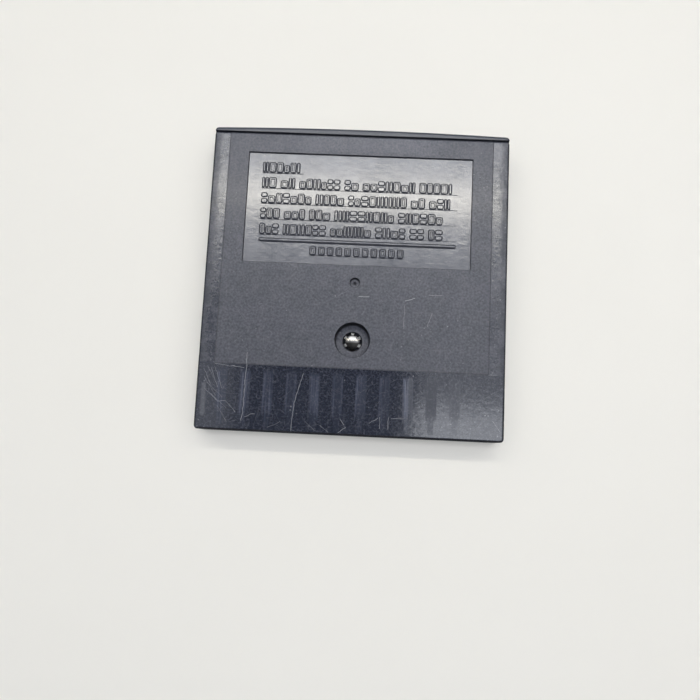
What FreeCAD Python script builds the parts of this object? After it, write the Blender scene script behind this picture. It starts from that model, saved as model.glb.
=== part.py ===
import FreeCAD
import Part
import Sketcher
import os
import re

# A handheld game cartridge that lies on its front face with its rear face up, in millimetres.
# Every piece is drawn with x across, y from the connector mouth to the grip lip and z up from
# the front face. Its placement then centres the cartridge over the origin.

SIZES = {
    # Outer form
    "width": 66.0,
    "rear_length": 66.65,
    "thickness": 9.0,
    "parting_height": 4.5,
    "seam_gap": 0.3,
    "seam_depth": 0.8,
    "seam_fit": 0.1,
    "lip_depth": 0.7,
    "lip_bow": 0.55,
    "lip_bevel_width": 0.5,
    "lip_bevel_drop": 0.2,
    "corner_radius": 0.8,
    "seam_corner_radius": 0.64,
    "front_edge_radius": 0.5,
    "rear_edge_radius": 0.5,
    # Walls of the two shells
    "front_wall": 1.4,
    "rear_wall": 1.4,
    "side_wall": 1.5,
    "mouth_wall": 1.5,
    "end_wall": 1.2,
    "tongue_thickness": 0.6,
    "tongue_height": 0.8,
    "tongue_clearance": 0.1,
    # Recess for a label in the front face
    "label_width": 54.0,
    "label_length": 46.0,
    "label_start": 8.0,
    "label_depth": 0.3,
    "label_corner_radius": 2.0,
    # Panel with raised rows, and gate mark, in the rear face
    "panel_width": 50.0,
    "panel_length": 25.2,
    "panel_margin": 4.5,
    "panel_depth": 0.45,
    "row_count": 5,
    "row_margin": 2.2,
    "row_height": 2.5,
    "row_pitch": 3.54,
    "row_inset": 3.2,
    "row_rise": 0.25,
    "short_row_length": 9.2,
    "rule_margin": 4.8,
    "rule_height": 0.7,
    "foot_row_margin": 2.0,
    "foot_row_height": 1.95,
    "foot_row_length": 20.8,
    "gate_margin": 3.85,
    "gate_diameter": 2.3,
    "gate_depth": 0.8,
    "gate_pit_diameter": 0.6,
    "gate_pit_depth": 0.25,
    # Screw, the well it lies in and the post it bites into
    "screw_offset": 20.5,
    "well_diameter": 7.6,
    "well_depth": 2.8,
    "well_edge_radius": 0.15,
    "well_wall": 1.3,
    "head_diameter": 4.0,
    "head_side": 0.8,
    "head_dome": 0.6,
    "head_stand": 0.5,
    "head_clearance": 0.2,
    "notch_diameter": 0.95,
    "notch_count": 6,
    "shank_diameter": 2.4,
    "shank_clearance": 0.2,
    "tip_diameter": 1.6,
    "tip_length": 0.5,
    "tip_gap": 0.2,
    "thread_clearance": 0.05,
    "post_diameter": 6.6,
    "post_clearance": 0.2,
    "post_collar": 1.2,
    "pilot_floor": 1.1,
    "seat_web": 1.5,
    # Circuit board and what carries it
    "board_thickness": 1.2,
    "board_standoff": 0.6,
    "board_side_gap": 2.5,
    "board_setback": 5.0,
    "board_end_gap": 8.0,
    "board_corner_radius": 0.6,
    "board_edge_chamfer": 0.3,
    "ledge_inset": 1.8,
    "ledge_width": 1.2,
    "peg_diameter": 2.0,
    "peg_clearance": 0.1,
    "peg_inset": 7.0,
    "peg_margin": 5.5,
    "peg_rise": 0.8,
    "peg_collar": 0.8,
    # Connector mouth
    "slot_clearance": 0.5,
    "slot_depth": 13.0,
    "slot_bevel": 0.9,
    "guide_thickness": 1.0,
    "guide_gap": 0.2,
    "clamp_thickness": 1.2,
    "clamp_clearance": 0.1,
    # Hooks that hold the far end of the rear shell
    "hook_inset": 13.0,
    "hook_width": 6.0,
    "hook_thickness": 1.0,
    "hook_nub": 0.6,
    "hook_nub_height": 0.8,
    "hook_ledge": 1.0,
    "hook_clearance": 0.15,
    # Gold contacts on the board's edge
    "contact_pitch": 1.25,
    "contact_width": 0.8,
    "contact_length": 7.0,
    "contact_thickness": 0.05,
    "contact_setback": 0.6,
    "contact_margin": 1.0,
    # Memory chip and its legs
    "chip_length": 20.5,
    "chip_width": 11.2,
    "chip_height": 2.3,
    "chip_standoff": 0.1,
    "chip_draft": 7.0,
    "chip_mark_diameter": 1.4,
    "chip_mark_depth": 0.15,
    "chip_mark_inset": 1.6,
    "leg_pitch": 1.27,
    "leg_width": 0.42,
    "leg_thickness": 0.18,
    "leg_shoulder": 0.35,
    "leg_splay": 0.25,
    "leg_foot": 0.85,
    "leg_margin": 0.5,
    # Decoupling capacitor
    "capacitor_length": 3.2,
    "capacitor_width": 1.6,
    "capacitor_height": 1.3,
    "capacitor_end_length": 0.5,
    "capacitor_shift": 16.0,
}

# Formulas that several pieces share
RULES = {
    "total_length": "rear_length + seam_gap + lip_depth + lip_bow",
    "lip_start": "rear_length + seam_gap",
    "seam_face": "lip_start - seam_fit",
    "lip_corner": "rear_length + seam_gap + lip_depth",
    "half_width": "width / 2",
    "inner_half": "half_width - side_wall",
    "inner_end": "rear_length - end_wall",
    "ceiling": "thickness - rear_wall",
    "panel_far": "rear_length - panel_margin",
    "panel_near": "panel_far - panel_length",
    "gate_along": "panel_near - gate_margin",
    "board_base": "front_wall + board_standoff",
    "board_top": "board_base + board_thickness",
    "board_half": "inner_half - board_side_gap",
    "board_end": "inner_end - board_end_gap",
    "slot_half": "board_half + slot_clearance",
    "peg_across": "board_half - peg_inset",
    "peg_along": "board_end - peg_margin",
    "well_floor": "thickness - well_depth",
    "head_height": "head_side + head_dome",
    "head_seat": "well_floor + head_stand - head_height",
    "post_top": "head_seat - seat_web",
    "tip_level": "pilot_floor + tip_gap",
    "shank_length": "head_seat - tip_level",
    "hook_across": "inner_half - hook_inset",
    "hook_face": "inner_end - hook_clearance",
    "hook_back": "hook_face - hook_thickness",
    "window_top": "parting_height - hook_ledge",
    "window_height": "hook_nub_height + 2 * hook_clearance",
    "nub_top": "window_top - hook_clearance",
    "nub_base": "nub_top - hook_nub_height",
    "contact_count": "floor((2 * (board_half - contact_margin) - contact_width) / contact_pitch) + 1",
    "contact_first": "-(contact_count - 1) * contact_pitch / 2",
    "chip_centre": "(screw_offset + board_end) / 2",
    "chip_middle": "chip_standoff + chip_height / 2",
    "leg_count": "floor((chip_length - 2 * leg_margin - leg_width) / leg_pitch) + 1",
    "leg_first": "-(leg_count - 1) * leg_pitch / 2",
    "leg_bend": "chip_width / 2 + leg_shoulder",
    "capacitor_inner": "capacitor_length / 2 - capacitor_end_length",
}

# How far a cut runs past the faces that it opens, and how close two places count as one
OVERCUT = "side_wall"
NEAR = 0.001
# The sketcher's numbers for the ends and the centre of an item, the origin and the y axis
START, END, CENTRE = range(1, 4)
ORIGIN, Y_AXIS = range(-1, -3, -1)

doc = FreeCAD.newDocument("cartridge")
sheet = doc.addObject("Spreadsheet::Sheet", "Sizes")
for row, (name, number) in enumerate(SIZES.items(), 1):
    sheet.set(f"A{row}", name)
    sheet.set(f"B{row}", str(number))
    sheet.setAlias(f"B{row}", name)
doc.recompute()


def formula(text):
    """The text as an expression: its rules are written out and its sizes point at the sheet."""

    def swap(match):
        word = match.group()
        if word in RULES:
            return f"({formula(RULES[word])})"
        return f"Sizes.{word}" if word in SIZES else word

    return re.sub("[a-z_]+", swap, text)


def value(text):
    """The number that a formula stands for."""
    return sheet.evalExpression(formula(text))


def new_body(label, along="0", level="0"):
    """A body whose own zero lies at y = along and z = level of the cartridge."""
    body = doc.addObject("PartDesign::Body", label)
    body.Label = label
    body.setExpression("Placement.Base.y", formula(f"{along} - total_length / 2"))
    body.setExpression("Placement.Base.z", formula(level))
    return body


def origin_feature(body, role):
    """The plane or axis of the body's origin that has this role."""
    return next(feature for feature in body.Origin.OriginFeatures if feature.Role == role)


def new_sketch(body, name, level="0", plane="XY_Plane"):
    """A sketch on a plane of the body's origin, shifted along the plane's normal."""
    sketch = body.newObject("Sketcher::SketchObject", f"{body.Label}_{name}_sketch")
    sketch.AttachmentSupport = [(origin_feature(body, plane), "")]
    sketch.MapMode = "FlatFace"
    sketch.setExpression("AttachmentOffset.Base.z", formula(level))
    return sketch


def place(sketch, item, end, across, along):
    """Hold one point of a sketch at two formulas from the sketch's origin."""
    for kind, text in (("DistanceX", across), ("DistanceY", along)):
        constraint = Sketcher.Constraint(kind, ORIGIN, START, item, end, value(text))
        number = sketch.addConstraint(constraint)
        sketch.setExpression(f"Constraints[{number}]", formula(text))


def arc_about_axis(start, end):
    """The counter-clockwise arc from start to end whose centre lies on the sketch's y axis."""
    height = (start.Length**2 - end.Length**2) / (2 * (start.y - end.y))
    centre = FreeCAD.Vector(0, height, 0)
    circle = Part.Circle(centre, FreeCAD.Vector(0, 0, 1), start.distanceToPoint(centre))
    return Part.ArcOfCircle(circle, circle.parameter(start), circle.parameter(end))


def outline(sketch, corners, arcs=()):
    """A closed outline through corners given as formulas; the sides numbered in arcs are round."""
    points = [FreeCAD.Vector(value(across), value(along), 0) for across, along in corners]
    first = sketch.GeometryCount
    count = len(points)
    for side in range(count):
        start = points[side]
        end = points[(side + 1) % count]
        sketch.addGeometry(arc_about_axis(start, end) if side in arcs else Part.LineSegment(start, end))
    for side in range(count):
        following = first + (side + 1) % count
        sketch.addConstraint(Sketcher.Constraint("Coincident", first + side, END, following, START))
        place(sketch, first + side, START, *corners[side])
        if side in arcs:
            sketch.addConstraint(Sketcher.Constraint("PointOnObject", first + side, CENTRE, Y_AXIS))


def rectangle(sketch, left, right, near, far):
    """A rectangle between two formulas across and two along."""
    outline(sketch, [(left, near), (right, near), (right, far), (left, far)])


def mirrored_rectangles(sketch, inner, outer, near, far):
    """Two rectangles, one on each side of the middle."""
    rectangle(sketch, inner, outer, near, far)
    rectangle(sketch, f"-({outer})", f"-({inner})", near, far)


def disc(sketch, across, along, diameter):
    """A circle about a point given as formulas."""
    centre = FreeCAD.Vector(value(across), value(along), 0)
    circle = Part.Circle(centre, FreeCAD.Vector(0, 0, 1), value(diameter) / 2)
    item = sketch.addGeometry(circle)
    place(sketch, item, CENTRE, across, along)
    number = sketch.addConstraint(Sketcher.Constraint("Diameter", item, value(diameter)))
    sketch.setExpression(f"Constraints[{number}]", formula(diameter))


def pad(body, name, sketch, length, downwards=False):
    """Material added from a sketch."""
    feature = body.newObject("PartDesign::Pad", f"{body.Label}_{name}")
    feature.Profile = sketch
    feature.Reversed = downwards
    feature.setExpression("Length", formula(length))
    doc.recompute()
    return feature


def pocket(body, name, sketch, depth, upwards=False):
    """Material cut away from a sketch, with proof that the cut met the solid."""
    before = body.Shape.Volume
    feature = body.newObject("PartDesign::Pocket", f"{body.Label}_{name}")
    feature.Profile = sketch
    feature.Reversed = upwards
    feature.setExpression("Length", formula(depth))
    doc.recompute()
    if body.Shape.Volume > before - NEAR:
        raise RuntimeError(f"{feature.Name} cuts nothing")
    return feature


def edge_feature(kind, body, name, chosen, sizes):
    """A fillet or chamfer of the edges that the function chosen picks by their bounding box."""
    base = body.Tip
    numbered = enumerate(base.Shape.Edges, 1)
    names = [f"Edge{number}" for number, edge in numbered if chosen(edge.BoundBox)]
    feature = body.newObject(f"PartDesign::{kind}", f"{body.Label}_{name}")
    feature.Base = (base, names)
    if "Size2" in sizes:
        feature.ChamferType = "Two distances"
    for label, size in sizes.items():
        feature.setExpression(label, formula(size))
    doc.recompute()
    return feature


def fillet(body, name, radius, chosen):
    """Rounding of the chosen edges."""
    return edge_feature("Fillet", body, name, chosen, {"Radius": radius})


def upright(box):
    """Whether an edge's box is that of a line along z."""
    return box.XLength < NEAR and box.YLength < NEAR


def at_level(box, level):
    """Whether an edge's box lies flat at the height of a formula."""
    return abs(box.ZMin - value(level)) < NEAR and abs(box.ZMax - value(level)) < NEAR


def round_front_outside(body):
    """The front shell's corners, the rim of its face and the bevel along its lip."""
    fillet(body, "corners", "corner_radius",
           lambda box: upright(box) and abs(box.Center.x) > value("half_width") - NEAR)
    sketch = new_sketch(body, "rear_seat", "thickness")
    rectangle(sketch, f"-half_width - {OVERCUT}", f"half_width + {OVERCUT}", f"-{OVERCUT}", "lip_start")
    pocket(body, "rear_seat", sketch, "thickness - parting_height")
    edge_feature("Chamfer", body, "lip_bevel",
                 lambda box: at_level(box, "thickness") and box.YMax > value("lip_start") + NEAR,
                 {"Size": "lip_bevel_drop", "Size2": "min(lip_bevel_width; 0.8 * lip_depth)"})
    fillet(body, "front_edge", "min(front_edge_radius; 0.8 * corner_radius)",
           lambda box: at_level(box, "0"))


def add_front_inside(body):
    """The guides of the mouth, the tongue, the ledges and the pegs of the front shell."""
    sketch = new_sketch(body, "guides", "front_wall")
    mirrored_rectangles(sketch, "slot_half", "slot_half + guide_thickness", "mouth_wall / 2",
                        "slot_depth - guide_gap")
    pad(body, "guides", sketch, "parting_height - front_wall")

    sketch = new_sketch(body, "tongue", "parting_height")
    mirrored_rectangles(sketch, "inner_half", "inner_half + tongue_thickness",
                        "mouth_wall + tongue_clearance", "inner_end - tongue_clearance")
    pad(body, "tongue", sketch, "tongue_height")

    sketch = new_sketch(body, "ledges", "front_wall")
    mirrored_rectangles(sketch, "board_half - ledge_inset - ledge_width", "board_half - ledge_inset",
                        "board_setback", "board_end")
    pad(body, "ledges", sketch, "board_standoff")

    for name, widening, height in (
        ("peg_collars", "2 * peg_collar", "board_standoff"),
        ("pegs", "0", "board_standoff + board_thickness + peg_rise"),
    ):
        sketch = new_sketch(body, name, "front_wall")
        for side in ("", "-"):
            disc(sketch, f"{side}peg_across", "peg_along", f"peg_diameter + {widening}")
        pad(body, name, sketch, height)


def add_screw_post(body):
    """The post that takes the screw, with a collar that carries the board."""
    for name, diameter, height in (
        ("post_collar", "post_diameter + 2 * post_collar", "board_standoff"),
        ("post", "post_diameter", "post_top - front_wall"),
    ):
        sketch = new_sketch(body, name, "front_wall")
        disc(sketch, "0", "screw_offset", diameter)
        pad(body, name, sketch, height)
    sketch = new_sketch(body, "pilot", "post_top")
    disc(sketch, "0", "screw_offset", "shank_diameter + 2 * thread_clearance")
    pocket(body, "pilot", sketch, "post_top - pilot_floor")


def cut_cavity(body, level, depth, upwards):
    """The hollow of a shell and the connector mouth that opens it."""
    sketch = new_sketch(body, "cavity", level)
    rectangle(sketch, "-inner_half", "inner_half", "mouth_wall", "inner_end")
    pocket(body, "cavity", sketch, depth, upwards)
    sketch = new_sketch(body, "mouth", level)
    rectangle(sketch, "-slot_half", "slot_half", f"-{OVERCUT}", f"mouth_wall + {OVERCUT}")
    pocket(body, "mouth", sketch, depth, upwards)


def make_front_shell():
    """The tray that carries the board, with a bowed lip that closes the far end."""
    body = new_body("front_shell")
    sketch = new_sketch(body, "outline")
    corners = [("-half_width", "0"), ("half_width", "0"), ("half_width", "lip_corner"),
               ("0", "total_length"), ("-half_width", "lip_corner")]
    outline(sketch, corners, arcs=(2, 3))
    pad(body, "outline", sketch, "thickness")
    round_front_outside(body)
    cut_cavity(body, "parting_height", "parting_height - front_wall", upwards=False)
    add_front_inside(body)
    add_screw_post(body)

    sketch = new_sketch(body, "windows", "window_top")
    mirrored_rectangles(sketch, "hook_across - hook_width / 2 - hook_clearance",
                        "hook_across + hook_width / 2 + hook_clearance",
                        f"inner_end - {OVERCUT}", "inner_end + hook_nub")
    pocket(body, "windows", sketch, "window_height")

    sketch = new_sketch(body, "label_recess")
    rectangle(sketch, "-label_width / 2", "label_width / 2", "label_start", "label_start + label_length")
    pocket(body, "label_recess", sketch, "label_depth", upwards=True)
    fillet(body, "label_corners", "label_corner_radius",
           lambda box: upright(box) and abs(box.ZMax - value("label_depth")) < NEAR)
    return body


def cut_screw_well(body):
    """The stepped well in the rear face, within a cup and a stem that stands on the post."""
    for name, diameter, base, top in (
        ("well_cup", "well_diameter + 2 * well_wall", "well_floor - well_wall", "ceiling"),
        ("well_stem", "post_diameter", "post_top", "well_floor - well_wall"),
    ):
        sketch = new_sketch(body, name, base)
        disc(sketch, "0", "screw_offset", diameter)
        pad(body, name, sketch, f"{top} - ({base})")
    for name, diameter, depth in (
        ("well", "well_diameter", "well_depth"),
        ("head_hole", "head_diameter + 2 * head_clearance", "thickness - head_seat"),
        ("shank_hole", "shank_diameter + 2 * shank_clearance", f"thickness - post_top + {OVERCUT}"),
    ):
        sketch = new_sketch(body, name, "thickness")
        disc(sketch, "0", "screw_offset", diameter)
        pocket(body, name, sketch, depth)
    fillet(body, "well_edge", "well_edge_radius",
           lambda box: at_level(box, "thickness") and abs(box.XLength - value("well_diameter")) < NEAR)


def add_hooks(body):
    """Two hooks below the far end of the rear shell, whose nubs catch in the front shell."""
    left = "hook_across - hook_width / 2"
    right = "hook_across + hook_width / 2"
    for name, near, far, base, top in (
        ("hook_roots", "hook_back", "inner_end", "parting_height", "ceiling"),
        ("hook_arms", "hook_back", "hook_face", "nub_base", "parting_height"),
        ("hook_nubs", "hook_face", "hook_face + hook_nub", "nub_base", "nub_top"),
    ):
        sketch = new_sketch(body, name, base)
        mirrored_rectangles(sketch, left, right, near, far)
        pad(body, name, sketch, f"{top} - {base}")


def add_panel_rows(body):
    """The panel's raised rows: a short one, long ones at an even pitch, a rule and a centred one."""
    left = "row_inset - panel_width / 2"
    right = "panel_width / 2 - row_inset"
    rule = "panel_near + rule_margin"
    foot = "panel_near + foot_row_margin"
    rows = [
        (left, right, rule, f"{rule} + rule_height"),
        ("-foot_row_length / 2", "foot_row_length / 2", foot, f"{foot} + foot_row_height"),
    ]
    for number in range(int(value("row_count"))):
        far = f"panel_far - row_margin - {number} * row_pitch"
        end = right if number else f"{left} + short_row_length"
        rows.append((left, end, f"{far} - min(row_height; 0.8 * row_pitch)", far))
    for number, edges in enumerate(rows, 1):
        sketch = new_sketch(body, f"row_{number}", "thickness - panel_depth")
        rectangle(sketch, *edges)
        pad(body, f"row_{number}", sketch, "min(row_rise; 0.8 * panel_depth)")


def mark_rear_face(body):
    """The sunken panel with its raised rows, and the gate mark."""
    sketch = new_sketch(body, "panel", "thickness")
    rectangle(sketch, "-panel_width / 2", "panel_width / 2", "panel_near", "panel_far")
    pocket(body, "panel", sketch, "panel_depth")
    add_panel_rows(body)
    for name, diameter, depth in (
        ("gate_mark", "gate_diameter", "gate_depth"),
        ("gate_pit", "gate_pit_diameter", "gate_depth + gate_pit_depth"),
    ):
        sketch = new_sketch(body, name, "thickness")
        disc(sketch, "0", "gate_along", diameter)
        pocket(body, name, sketch, depth)


def make_rear_shell():
    """The lid with the flat rear face, which rests on the front shell's walls."""
    body = new_body("rear_shell")
    sketch = new_sketch(body, "outline", "parting_height")
    rectangle(sketch, "-half_width", "half_width", "0", "seam_face")
    pad(body, "outline", sketch, "thickness - parting_height")
    sketch = new_sketch(body, "seam", "thickness")
    rectangle(sketch, f"-half_width - {OVERCUT}", f"half_width + {OVERCUT}", "rear_length",
              f"seam_face + {OVERCUT}")
    pocket(body, "seam", sketch, "seam_depth")
    fillet(body, "mouth_corners", "corner_radius",
           lambda box: upright(box) and box.YMax < NEAR)
    fillet(body, "seam_corners", "min(seam_corner_radius; 0.8 * seam_depth)",
           lambda box: upright(box) and box.ZMax > value("thickness") - NEAR and box.YMin > NEAR)
    fillet(body, "rear_edge", "min(rear_edge_radius; 0.8 * seam_corner_radius; 0.8 * corner_radius)",
           lambda box: at_level(box, "thickness"))
    cut_cavity(body, "parting_height", "ceiling - parting_height", upwards=True)
    edge_feature("Chamfer", body, "slot_bevel",
                 lambda box: at_level(box, "ceiling") and box.YMax < NEAR,
                 {"Size": "min(slot_bevel; 0.8 * mouth_wall; 0.8 * (rear_wall - rear_edge_radius))"})

    sketch = new_sketch(body, "rebate", "parting_height")
    reach = "inner_half + tongue_thickness + tongue_clearance"
    rectangle(sketch, f"-({reach})", reach, "mouth_wall", "inner_end")
    pocket(body, "rebate", sketch, "tongue_height + tongue_clearance", upwards=True)

    sketch = new_sketch(body, "clamp", "board_top + clamp_clearance")
    rectangle(sketch, "-inner_half + tongue_clearance", "inner_half - tongue_clearance",
              "slot_depth", "slot_depth + clamp_thickness")
    pad(body, "clamp", sketch, "ceiling - board_top - clamp_clearance")

    add_hooks(body)
    cut_screw_well(body)
    mark_rear_face(body)
    return body


def make_case_screw():
    """A turned screw with round notches in the rim of its domed head, drawn from its seat up."""
    body = new_body("case_screw", "screw_offset", "head_seat")
    sketch = new_sketch(body, "profile", plane="XZ_Plane")
    outline(sketch, [
        ("0", "-shank_length"),
        ("tip_diameter / 2", "-shank_length"),
        ("shank_diameter / 2", "tip_length - shank_length"),
        ("shank_diameter / 2", "0"),
        ("head_diameter / 2", "0"),
        ("head_diameter / 2", "head_side"),
        ("0", "head_height"),
    ], arcs=(5,))
    turning = body.newObject("PartDesign::Revolution", "case_screw_turning")
    turning.Profile = sketch
    turning.ReferenceAxis = (sketch, ["V_Axis"])
    doc.recompute()

    sketch = new_sketch(body, "notch", "head_height")
    disc(sketch, "head_diameter / 2", "0", "notch_diameter")
    notch = pocket(body, "notch", sketch, "head_height")
    notches = body.newObject("PartDesign::PolarPattern", "case_screw_notches")
    notches.Originals = [notch]
    notches.Axis = (origin_feature(body, "Z_Axis"), [""])
    notches.Angle = 360
    notches.setExpression("Occurrences", formula("notch_count"))
    body.Tip = notches
    return body


def make_circuit_board():
    """The card on its ledges, with holes for the post and the pegs and a bevelled plug edge."""
    body = new_body("circuit_board", level="board_base")
    sketch = new_sketch(body, "outline")
    rectangle(sketch, "-board_half", "board_half", "board_setback", "board_end")
    pad(body, "outline", sketch, "board_thickness")
    fillet(body, "corners", "board_corner_radius",
           lambda box: upright(box) and box.YMin > value("board_end") - NEAR)
    edge_feature("Chamfer", body, "bevel",
                 lambda box: box.YMax < value("board_setback") + NEAR and not upright(box),
                 {"Size": "min(board_edge_chamfer; 0.4 * board_thickness)"})

    sketch = new_sketch(body, "holes", "board_thickness")
    disc(sketch, "0", "screw_offset", "post_diameter + 2 * post_clearance")
    for side in ("", "-"):
        disc(sketch, f"{side}peg_across", "peg_along", "peg_diameter + 2 * peg_clearance")
    pocket(body, "holes", sketch, "board_thickness")
    return body


def repeat_across(body, feature, pitch, count):
    """Copies of a feature in a row along x."""
    row = body.newObject("PartDesign::LinearPattern", f"{body.Label}_row")
    row.Originals = [feature]
    row.Direction = (origin_feature(body, "X_Axis"), [""])
    row.Mode = "Spacing"
    row.setExpression("Offset", formula(pitch))
    row.setExpression("Occurrences", formula(count))
    body.Tip = row


def make_edge_contacts():
    """The row of gold pads, each a solid of its own, on the board's upper face."""
    body = new_body("edge_contacts", "board_setback + contact_setback", "board_top")
    sketch = new_sketch(body, "pad")
    rectangle(sketch, "contact_first - contact_width / 2", "contact_first + contact_width / 2",
              "0", "contact_length")
    repeat_across(body, pad(body, "pad", sketch, "contact_thickness"), "contact_pitch", "contact_count")
    return body


def make_rom_package():
    """The chip's moulded body: a thin band at the legs, drafted above and below, and a mark at leg one."""
    body = new_body("rom_package", "chip_centre", "board_top")
    band_base = "chip_middle - leg_thickness / 2"
    band_top = "chip_middle + leg_thickness / 2"
    half_height = "(chip_height - leg_thickness) / 2"
    for name, level, height, downwards, draft in (
        ("band", band_base, "leg_thickness", False, "0"),
        ("upper", band_top, half_height, False, "-chip_draft"),
        ("lower", band_base, half_height, True, "-chip_draft"),
    ):
        sketch = new_sketch(body, name, level)
        rectangle(sketch, "-chip_length / 2", "chip_length / 2", "-chip_width / 2", "chip_width / 2")
        feature = pad(body, name, sketch, height, downwards)
        feature.setExpression("TaperAngle", formula(draft))
    doc.recompute()
    sketch = new_sketch(body, "mark", "chip_standoff + chip_height")
    disc(sketch, "chip_mark_inset - chip_length / 2", "chip_mark_inset - chip_width / 2",
         "chip_mark_diameter")
    pocket(body, "mark", sketch, "chip_mark_depth")
    return body


def make_rom_legs():
    """The chip's bent legs, each a solid of its own, from the package's band down to the board."""
    body = new_body("rom_leads", "chip_centre", "board_top")
    sketch = new_sketch(body, "leg", "leg_first - leg_width / 2", plane="YZ_Plane")
    leg = [
        ("chip_width / 2", "chip_middle - leg_thickness / 2"),
        ("leg_bend - leg_thickness", "chip_middle - leg_thickness / 2"),
        ("leg_bend + leg_splay - leg_thickness", "0"),
        ("leg_bend + leg_splay + leg_foot", "0"),
        ("leg_bend + leg_splay + leg_foot", "leg_thickness"),
        ("leg_bend + leg_splay", "leg_thickness"),
        ("leg_bend", "chip_middle + leg_thickness / 2"),
        ("chip_width / 2", "chip_middle + leg_thickness / 2"),
    ]
    outline(sketch, leg)
    outline(sketch, [(f"-({along})", level) for along, level in leg])
    repeat_across(body, pad(body, "leg", sketch, "leg_width"), "leg_pitch", "leg_count")
    return body


def capacitor_solid(label, blocks):
    """A body of blocks as wide and high as the capacitor, between pairs of formulas across."""
    body = new_body(label, "screw_offset", "board_top")
    sketch = new_sketch(body, "blocks")
    for left, right in blocks:
        rectangle(sketch, left, right, "-capacitor_width / 2", "capacitor_width / 2")
    pad(body, "blocks", sketch, "capacitor_height")
    return body


def make_capacitor():
    """The ceramic block and its two metal ends, beside the post."""
    inner_left = "capacitor_shift - capacitor_inner"
    inner_right = "capacitor_shift + capacitor_inner"
    outer_left = "capacitor_shift - capacitor_length / 2"
    outer_right = "capacitor_shift + capacitor_length / 2"
    ceramic = capacitor_solid("capacitor_body", [(inner_left, inner_right)])
    ends = capacitor_solid("capacitor_ends", [(outer_left, inner_left), (inner_right, outer_right)])
    return [ceramic, ends]


pieces = [
    make_front_shell(),
    make_rear_shell(),
    make_case_screw(),
    make_circuit_board(),
    make_edge_contacts(),
    make_rom_package(),
    make_rom_legs(),
    *make_capacitor(),
]
doc.recompute()

for item in doc.Objects:
    if "Invalid" in item.State or "Error" in item.State:
        raise RuntimeError(f"{item.Name} failed: {item.State}")
for piece in pieces:
    if piece.Shape.isNull() or not piece.Shape.isValid():
        raise RuntimeError(f"{piece.Label} has no valid shape")

os.makedirs("parts", exist_ok=True)
for piece in pieces:
    piece.Shape.exportStep(f"parts/{piece.Label}.step")
    print(f"{piece.Label}: {len(piece.Shape.Solids)} solids, {piece.Shape.Volume:.1f} mm3")
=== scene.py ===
import math

import bpy
import numpy as np
from mathutils import Matrix, Vector


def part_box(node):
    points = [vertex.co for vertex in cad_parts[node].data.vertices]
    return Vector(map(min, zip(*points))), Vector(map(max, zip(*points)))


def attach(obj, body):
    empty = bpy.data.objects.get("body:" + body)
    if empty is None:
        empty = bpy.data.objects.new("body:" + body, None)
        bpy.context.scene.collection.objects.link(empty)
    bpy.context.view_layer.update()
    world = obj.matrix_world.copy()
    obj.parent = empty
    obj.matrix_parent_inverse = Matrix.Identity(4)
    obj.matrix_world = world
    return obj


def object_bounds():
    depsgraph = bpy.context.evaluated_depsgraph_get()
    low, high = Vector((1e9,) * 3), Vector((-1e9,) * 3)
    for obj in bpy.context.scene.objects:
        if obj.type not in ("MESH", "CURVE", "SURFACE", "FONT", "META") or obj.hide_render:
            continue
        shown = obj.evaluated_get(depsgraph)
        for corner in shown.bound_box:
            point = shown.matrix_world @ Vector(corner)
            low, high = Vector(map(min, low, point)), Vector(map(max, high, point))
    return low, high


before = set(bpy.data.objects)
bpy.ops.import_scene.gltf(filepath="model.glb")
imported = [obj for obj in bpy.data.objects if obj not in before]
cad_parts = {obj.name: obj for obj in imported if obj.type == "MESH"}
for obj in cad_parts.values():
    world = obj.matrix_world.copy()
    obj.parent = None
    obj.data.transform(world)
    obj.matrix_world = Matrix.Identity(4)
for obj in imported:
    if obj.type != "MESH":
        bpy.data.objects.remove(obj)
cad_low, cad_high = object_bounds()

# Front shell: the moulded black tray that lies on the table and carries everything else.
# Its bowed lip closes the far end of the cartridge. The plastic is coloured all through,
# with a fine grain from the mould and the scuffs of years of handling.
MM = 0.001
MOUTH = cad_low.y
SHELL_BLACK = (0.0165, 0.0195, 0.031, 1)
SHELL_SCUFF = (0.21, 0.212, 0.225, 1)
LABEL_CENTRE, LABEL_HALF = (0, 31, 0), (27, 23, 0)
WALL_CENTRE, WALL_HALF = (0, 50, 0), (32.66, 49.66, 0)
WALL_ROUGHNESS = 0.9
# A pair that ends in _UP, _ALONG or _ACROSS says where a mask is 0 and where it is 1, in millimetres.
LABEL_UP, CORNER_UP, CORNER_ALONG = (1.0, 0.6), (8.86, 8.76), (0.95, 0.8)


def connect(tree, value, socket):
    """Feed a socket from another node's output, or set it to a plain value."""
    if isinstance(value, bpy.types.NodeSocket):
        tree.links.new(value, socket)
    else:
        socket.default_value = value


def add_node(tree, kind, inputs=(), **settings):
    """A node with its settings, and with values or links on the inputs that are named or numbered."""
    node = tree.nodes.new(kind)
    for name, value in settings.items():
        setattr(node, name, value)
    for name, value in dict(inputs).items():
        connect(tree, value, node.inputs[name])
    return node


def calc(tree, operation, *values):
    """One step of arithmetic on numbers."""
    return add_node(tree, "ShaderNodeMath", enumerate(values), operation=operation).outputs[0]


def vector(tree, operation, *values):
    """One step of arithmetic on vectors."""
    return add_node(tree, "ShaderNodeVectorMath", enumerate(values), operation=operation).outputs[0]


def scaled(tree, value, factor):
    """A vector made longer or shorter."""
    inputs = {0: value, "Scale": factor}
    return add_node(tree, "ShaderNodeVectorMath", inputs, operation="SCALE").outputs[0]


def split(tree, value):
    """The three numbers of a vector."""
    return add_node(tree, "ShaderNodeSeparateXYZ", {0: value}).outputs


def rise(tree, value, low, high):
    """A number that goes smoothly from 0 at low to 1 at high, also where low is the larger."""
    inputs = {"Value": value, "From Min": low, "From Max": high}
    return add_node(tree, "ShaderNodeMapRange", inputs, interpolation_type="SMOOTHSTEP").outputs[0]


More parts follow.
